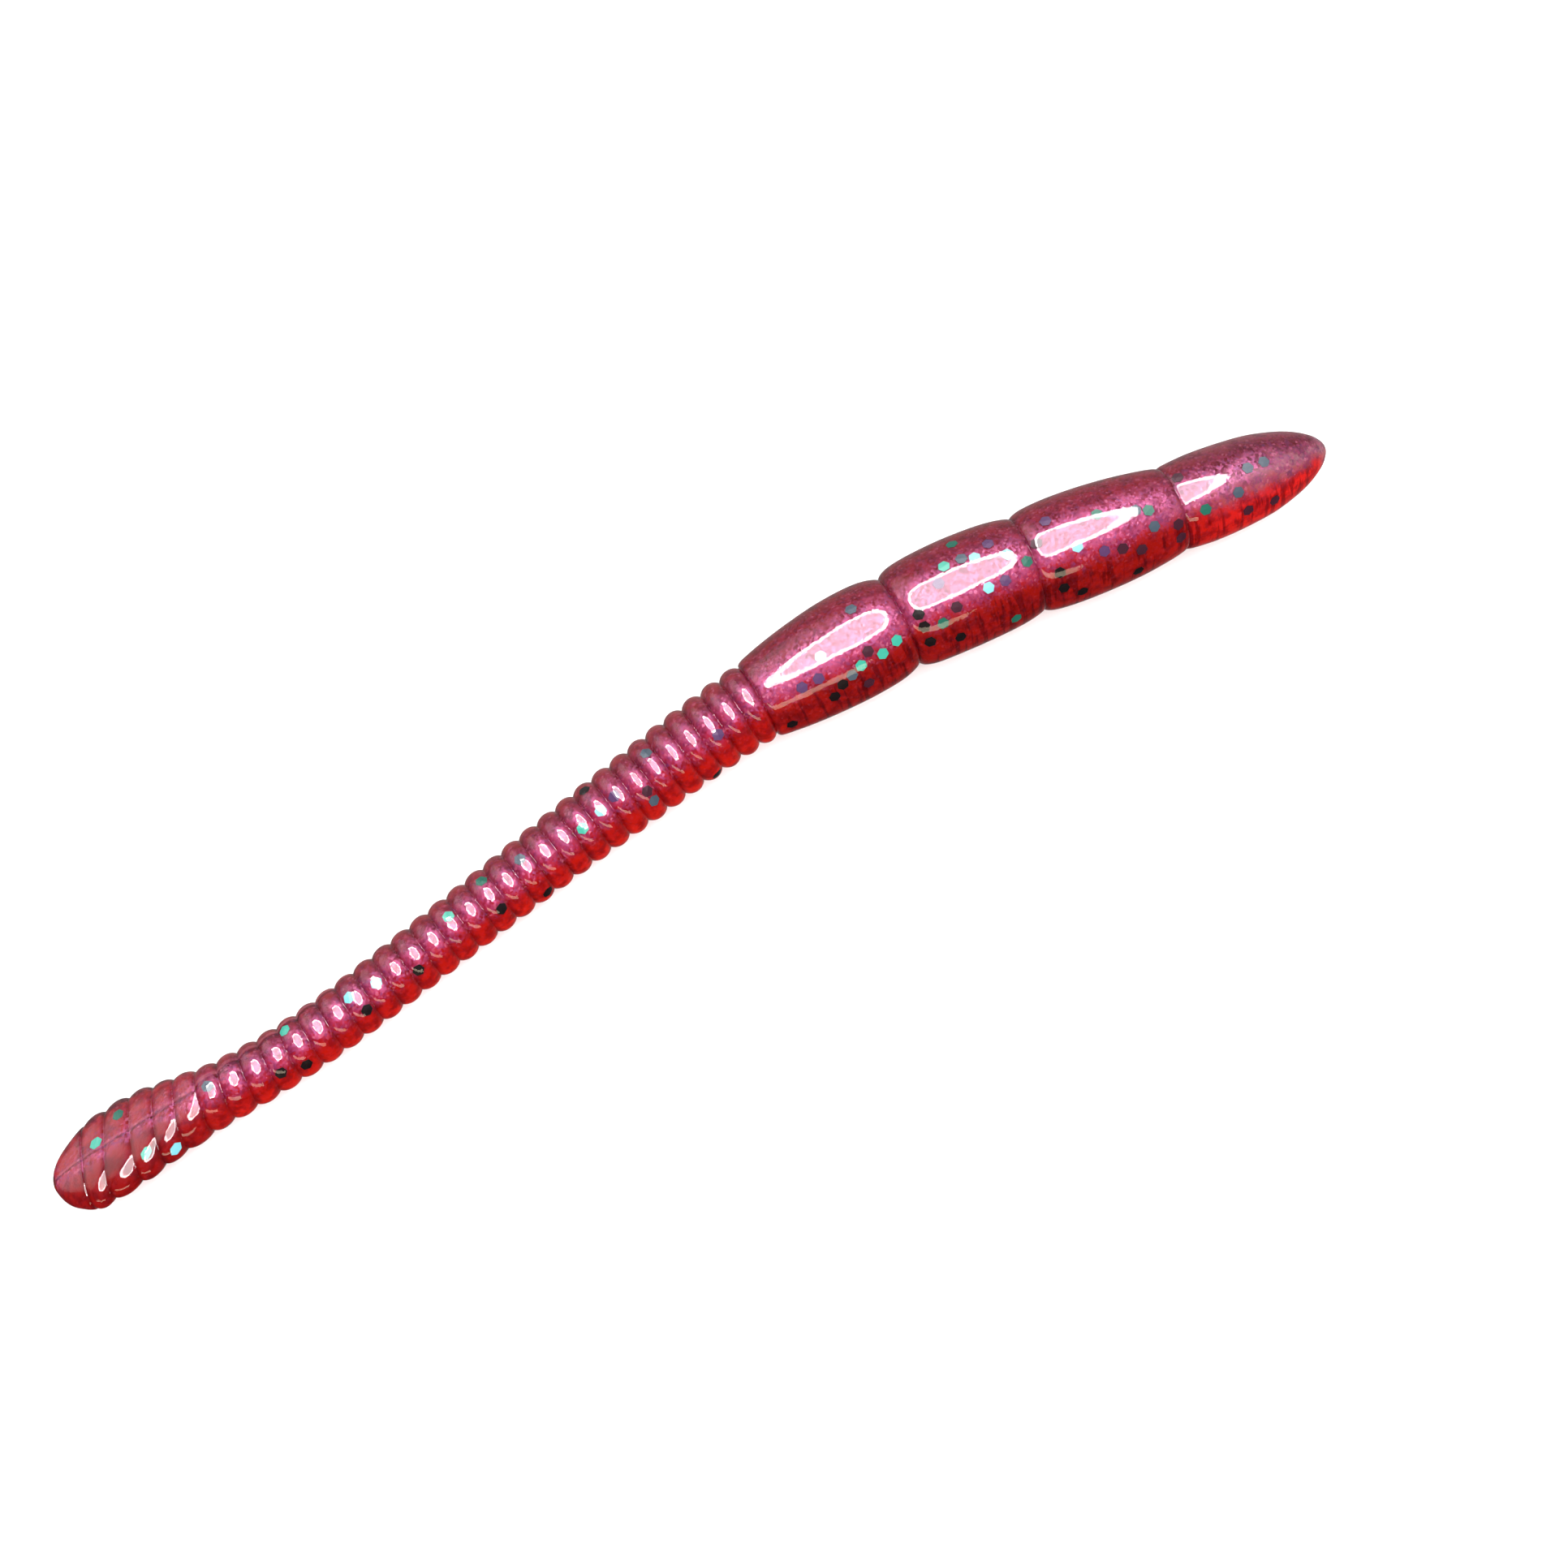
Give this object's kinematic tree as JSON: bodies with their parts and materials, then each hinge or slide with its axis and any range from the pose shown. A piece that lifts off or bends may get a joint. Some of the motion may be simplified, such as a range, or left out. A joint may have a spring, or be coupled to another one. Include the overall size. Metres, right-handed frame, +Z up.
{
  "type": "soft plastic worm",
  "caption": "Soft translucent ringed fishing worm with a rounded nose, smooth barrel-shaped head segments and a flattened ribbed paddle tail; bends at every groove.",
  "frame": {"origin": "middle of the worm's box in plan, on the surface it rests on", "axes": "+X from the tail towards the nose along the worm's length, +Z up, +Y to the worm's left"},
  "size_m": [0.1192, 0.013, 0.0092],
  "materials": {
    "barrel_plastic": "glossy, translucent red with a violet pearl",
    "ring_plastic": "glossy, translucent red with a violet pearl",
    "paddle_plastic": "glossy, translucent red",
    "hex_flake": "metallised film, teal, violet or near black"
  },
  "bodies": {
    "nose": {"nose": "barrel_plastic"},
    "barrel_front": {"barrel_front": "barrel_plastic"},
    "barrel_middle": {"barrel_middle": "barrel_plastic"},
    "barrel_rear": {"barrel_rear": "barrel_plastic"},
    "ring_01": {"ring_01": "ring_plastic"},
    "ring_02": {"ring_02": "ring_plastic"},
    "ring_03": {"ring_03": "ring_plastic"},
    "ring_04": {"ring_04": "ring_plastic"},
    "ring_05": {"ring_05": "ring_plastic"},
    "ring_06": {"ring_06": "ring_plastic"},
    "ring_07": {"ring_07": "ring_plastic"},
    "ring_08": {"ring_08": "ring_plastic"},
    "ring_09": {"ring_09": "ring_plastic"},
    "ring_10": {"ring_10": "ring_plastic"},
    "ring_11": {"ring_11": "ring_plastic"},
    "ring_12": {"ring_12": "ring_plastic"},
    "ring_13": {"ring_13": "ring_plastic"},
    "ring_14": {"ring_14": "ring_plastic"},
    "ring_15": {"ring_15": "ring_plastic"},
    "ring_16": {"ring_16": "ring_plastic"},
    "ring_17": {"ring_17": "ring_plastic"},
    "ring_18": {"ring_18": "ring_plastic"},
    "ring_19": {"ring_19": "ring_plastic"},
    "ring_20": {"ring_20": "ring_plastic"},
    "ring_21": {"ring_21": "ring_plastic"},
    "ring_22": {"ring_22": "ring_plastic"},
    "ring_23": {"ring_23": "ring_plastic"},
    "ring_24": {"ring_24": "ring_plastic"},
    "ring_25": {"ring_25": "ring_plastic"},
    "ring_26": {"ring_26": "ring_plastic"},
    "ring_27": {"ring_27": "ring_plastic"},
    "ring_28": {"ring_28": "ring_plastic"},
    "ring_29": {"ring_29": "ring_plastic"},
    "paddle_rib_1": {"paddle_rib_1": "paddle_plastic"},
    "paddle_rib_2": {"paddle_rib_2": "paddle_plastic"},
    "paddle_rib_3": {"paddle_rib_3": "paddle_plastic"},
    "paddle_rib_4": {"paddle_rib_4": "paddle_plastic"},
    "paddle_rib_5": {"paddle_rib_5": "paddle_plastic"},
    "tail_tip": {"tail_tip": "paddle_plastic"}
  },
  "joints": [
    {"name": "bend_ring_01", "type": "hinge", "parent": "barrel_rear", "child": "ring_01", "pos_m": [0.00824, 0.0022, 0.00416], "axis": [0.001, -0.0174, -0.9998], "range_deg": [-8, 8], "stiffness_Nm_per_rad": 0.0091},
    {"name": "bend_ring_02", "type": "hinge", "parent": "ring_01", "child": "ring_02", "pos_m": [0.00641, 0.0021, 0.00409], "axis": [-0.065, 0.9979, 0], "range_deg": [-8, 8], "stiffness_Nm_per_rad": 0.0086},
    {"name": "bend_ring_03", "type": "hinge", "parent": "ring_02", "child": "ring_03", "pos_m": [0.00457, 0.00198, 0.00394], "axis": [-0.0013, 0.0174, -0.9998], "range_deg": [-8, 8], "stiffness_Nm_per_rad": 0.0081},
    {"name": "bend_ring_04", "type": "hinge", "parent": "ring_03", "child": "ring_04", "pos_m": [0.00274, 0.00184, 0.00376], "axis": [0.0872, -0.9962, 0], "range_deg": [-8, 8], "stiffness_Nm_per_rad": 0.0077},
    {"name": "bend_ring_05", "type": "hinge", "parent": "ring_04", "child": "ring_05", "pos_m": [0.00091, 0.00168, 0.00356], "axis": [0.0017, -0.0174, -0.9998], "range_deg": [-8, 8], "stiffness_Nm_per_rad": 0.0073},
    {"name": "bend_ring_06", "type": "hinge", "parent": "ring_05", "child": "ring_06", "pos_m": [-0.00093, 0.0015, 0.00337], "axis": [0.1093, -0.994, 0], "range_deg": [-8, 8], "stiffness_Nm_per_rad": 0.0068},
    {"name": "bend_ring_07", "type": "hinge", "parent": "ring_06", "child": "ring_07", "pos_m": [-0.00277, 0.00129, 0.00322], "axis": [-0.002, 0.0173, -0.9998], "range_deg": [-8, 8], "stiffness_Nm_per_rad": 0.0064},
    {"name": "bend_ring_08", "type": "hinge", "parent": "ring_07", "child": "ring_08", "pos_m": [-0.00462, 0.00109, 0.00313], "axis": [-0.1157, 0.9933, 0], "range_deg": [-8, 8], "stiffness_Nm_per_rad": 0.006},
    {"name": "bend_ring_09", "type": "hinge", "parent": "ring_08", "child": "ring_09", "pos_m": [-0.00647, 0.00087, 0.00307], "axis": [0.0021, -0.0173, -0.9998], "range_deg": [-8, 8], "stiffness_Nm_per_rad": 0.0055},
    {"name": "bend_ring_10", "type": "hinge", "parent": "ring_09", "child": "ring_10", "pos_m": [-0.00832, 0.00065, 0.00302], "axis": [-0.1218, 0.9926, 0], "range_deg": [-8, 8], "stiffness_Nm_per_rad": 0.0052},
    {"name": "bend_ring_11", "type": "hinge", "parent": "ring_10", "child": "ring_11", "pos_m": [-0.01018, 0.00042, 0.00296], "axis": [-0.0022, 0.0173, -0.9998], "range_deg": [-8, 8], "stiffness_Nm_per_rad": 0.0048},
    {"name": "bend_ring_12", "type": "hinge", "parent": "ring_11", "child": "ring_12", "pos_m": [-0.01204, 0.00019, 0.00291], "axis": [0.1278, -0.9918, 0], "range_deg": [-8, 8], "stiffness_Nm_per_rad": 0.0044},
    {"name": "bend_ring_13", "type": "hinge", "parent": "ring_12", "child": "ring_13", "pos_m": [-0.0139, -0.00005, 0.00286], "axis": [0.0023, -0.0173, -0.9998], "range_deg": [-8, 8], "stiffness_Nm_per_rad": 0.0041},
    {"name": "bend_ring_14", "type": "hinge", "parent": "ring_13", "child": "ring_14", "pos_m": [-0.01577, -0.0003, 0.00282], "axis": [0.1042, -0.9946, -0.0005], "range_deg": [-8, 8], "stiffness_Nm_per_rad": 0.0039},
    {"name": "bend_ring_15", "type": "hinge", "parent": "ring_14", "child": "ring_15", "pos_m": [-0.01764, -0.00055, 0.00279], "axis": [-0.0024, 0.0173, -0.9998], "range_deg": [-8, 8], "stiffness_Nm_per_rad": 0.0038},
    {"name": "bend_ring_16", "type": "hinge", "parent": "ring_15", "child": "ring_16", "pos_m": [-0.01951, -0.00081, 0.00276], "axis": [-0.096, 0.9954, 0.0007], "range_deg": [-8, 8], "stiffness_Nm_per_rad": 0.0036},
    {"name": "bend_ring_17", "type": "hinge", "parent": "ring_16", "child": "ring_17", "pos_m": [-0.02139, -0.00107, 0.00273], "axis": [0.0024, -0.0173, -0.9998], "range_deg": [-8, 8], "stiffness_Nm_per_rad": 0.0034},
    {"name": "bend_ring_18", "type": "hinge", "parent": "ring_17", "child": "ring_18", "pos_m": [-0.02327, -0.00132, 0.0027], "axis": [-0.0861, 0.9963, 0.0008], "range_deg": [-8, 8], "stiffness_Nm_per_rad": 0.0033},
    {"name": "bend_ring_19", "type": "hinge", "parent": "ring_18", "child": "ring_19", "pos_m": [-0.02515, -0.00158, 0.00267], "axis": [-0.0024, 0.0173, -0.9998], "range_deg": [-8, 8], "stiffness_Nm_per_rad": 0.0031},
    {"name": "bend_ring_20", "type": "hinge", "parent": "ring_19", "child": "ring_20", "pos_m": [-0.02704, -0.00184, 0.00265], "axis": [0.0861, -0.9963, -0.0003], "range_deg": [-8, 8], "stiffness_Nm_per_rad": 0.003},
    {"name": "bend_ring_21", "type": "hinge", "parent": "ring_20", "child": "ring_21", "pos_m": [-0.02893, -0.0021, 0.00264], "axis": [0.0023, -0.0173, -0.9998], "range_deg": [-8, 8], "stiffness_Nm_per_rad": 0.003},
    {"name": "bend_ring_22", "type": "hinge", "parent": "ring_21", "child": "ring_22", "pos_m": [-0.03082, -0.00235, 0.00263], "axis": [0.0626, -0.998, -0.0004], "range_deg": [-8, 8], "stiffness_Nm_per_rad": 0.0029},
    {"name": "bend_ring_23", "type": "hinge", "parent": "ring_22", "child": "ring_23", "pos_m": [-0.03272, -0.00258, 0.00261], "axis": [-0.0019, 0.0173, -0.9998], "range_deg": [-8, 8], "stiffness_Nm_per_rad": 0.0029},
    {"name": "bend_ring_24", "type": "hinge", "parent": "ring_23", "child": "ring_24", "pos_m": [-0.03463, -0.00279, 0.0026], "axis": [-0.0252, 0.9997, 0.0004], "range_deg": [-8, 8], "stiffness_Nm_per_rad": 0.0028},
    {"name": "bend_ring_25", "type": "hinge", "parent": "ring_24", "child": "ring_25", "pos_m": [-0.03655, -0.00295, 0.00259], "axis": [0.001, -0.0174, -0.9998], "range_deg": [-8, 8], "stiffness_Nm_per_rad": 0.0028},
    {"name": "bend_ring_26", "type": "hinge", "parent": "ring_25", "child": "ring_26", "pos_m": [-0.03847, -0.00307, 0.00257], "axis": [0.0481, 0.9988, 0.0001], "range_deg": [-8, 8], "stiffness_Nm_per_rad": 0.0027},
    {"name": "bend_ring_27", "type": "hinge", "parent": "ring_26", "child": "ring_27", "pos_m": [-0.0404, -0.00313, 0.00257], "axis": [0, 0.0174, -0.9998], "range_deg": [-8, 8], "stiffness_Nm_per_rad": 0.0027},
    {"name": "bend_ring_28", "type": "hinge", "parent": "ring_27", "child": "ring_28", "pos_m": [-0.04233, -0.00313, 0.00259], "axis": [-0.1425, -0.984, 0.1072], "range_deg": [-8, 8], "stiffness_Nm_per_rad": 0.0028},
    {"name": "bend_ring_29", "type": "hinge", "parent": "ring_28", "child": "ring_29", "pos_m": [-0.04426, -0.00309, 0.00263], "axis": [-0.0008, -0.0174, -0.9998], "range_deg": [-8, 8], "stiffness_Nm_per_rad": 0.003},
    {"name": "bend_paddle_rib_1", "type": "hinge", "parent": "ring_29", "child": "paddle_rib_1", "pos_m": [-0.0462, -0.00299, 0.00259], "axis": [-0.2419, -0.9098, 0.3373], "range_deg": [-6, 6], "stiffness_Nm_per_rad": 0.0025},
    {"name": "bend_paddle_rib_2", "type": "hinge", "parent": "paddle_rib_1", "child": "paddle_rib_2", "pos_m": [-0.04824, -0.00288, 0.00251], "axis": [0.273, 0.8667, -0.4174], "range_deg": [-6, 6], "stiffness_Nm_per_rad": 0.0021},
    {"name": "bend_paddle_rib_3", "type": "hinge", "parent": "paddle_rib_2", "child": "paddle_rib_3", "pos_m": [-0.05017, -0.00279, 0.0025], "axis": [0.2591, 0.8587, -0.4422], "range_deg": [-6, 6], "stiffness_Nm_per_rad": 0.0015},
    {"name": "bend_paddle_rib_4", "type": "hinge", "parent": "paddle_rib_3", "child": "paddle_rib_4", "pos_m": [-0.05226, -0.00276, 0.00252], "axis": [-0.2607, -0.8612, 0.4364], "range_deg": [-6, 6], "stiffness_Nm_per_rad": 0.0011},
    {"name": "bend_paddle_rib_5", "type": "hinge", "parent": "paddle_rib_4", "child": "paddle_rib_5", "pos_m": [-0.05451, -0.00279, 0.00252], "axis": [-0.3357, -0.8552, 0.3949], "range_deg": [-6, 6], "stiffness_Nm_per_rad": 0.00099},
    {"name": "bend_tail_tip", "type": "hinge", "parent": "paddle_rib_5", "child": "tail_tip", "pos_m": [-0.05655, -0.00284, 0.0023], "axis": [0.2762, 0.8655, -0.4178], "range_deg": [-6, 6], "stiffness_Nm_per_rad": 0.00072},
    {"name": "bend_barrel_middle", "type": "hinge", "parent": "barrel_rear", "child": "barrel_middle", "pos_m": [0.02138, 0.00199, 0.00465], "axis": [-0.002, -0.0173, 0.9998], "range_deg": [-10, 10], "stiffness_Nm_per_rad": 0.0075},
    {"name": "bend_barrel_front", "type": "hinge", "parent": "barrel_middle", "child": "barrel_front", "pos_m": [0.03285, 0.00067, 0.00453], "axis": [-0.1719, -0.9851, 0], "range_deg": [-10, 10], "stiffness_Nm_per_rad": 0.0092},
    {"name": "bend_nose", "type": "hinge", "parent": "barrel_front", "child": "nose", "pos_m": [0.04556, -0.00155, 0.00431], "axis": [0.0021, 0.0173, 0.9998], "range_deg": [-10, 10], "stiffness_Nm_per_rad": 0.0053}
  ]
}
